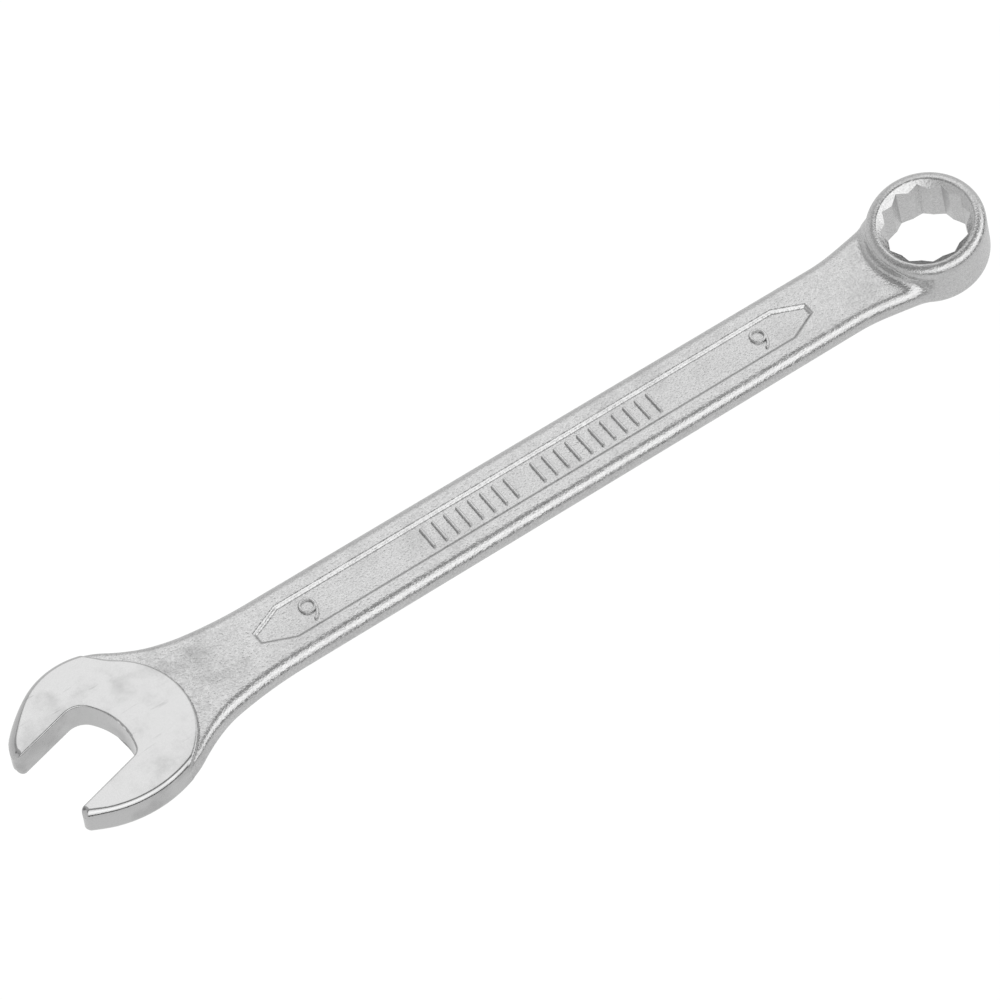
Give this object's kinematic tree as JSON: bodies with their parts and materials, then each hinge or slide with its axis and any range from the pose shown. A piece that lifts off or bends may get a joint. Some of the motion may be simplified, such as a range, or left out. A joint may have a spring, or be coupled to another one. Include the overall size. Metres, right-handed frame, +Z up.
{
  "type": "combination wrench",
  "caption": "Combination wrench for a 9 mm hexagon: angled open end, flat shank with a recessed panel on each side and a cranked twelve-point ring.",
  "frame": {"origin": "under the middle of the wrench's box, on the surface that it lies on", "axes": "+X along the shank from the open end to the ring end, +Z up out of the shank's flat side, towards which the ring is cranked"},
  "size_m": [0.1284, 0.0194, 0.0102],
  "materials": {
    "satin_chrome": "satin chrome plate with a fine pearly grain",
    "polished_chrome": "chrome plate polished smooth on both faces of the open end"
  },
  "bodies": {
    "root": {"open_end_head": "polished_chrome", "shank": "satin_chrome", "ring_head": "satin_chrome"}
  },
  "joints": []
}
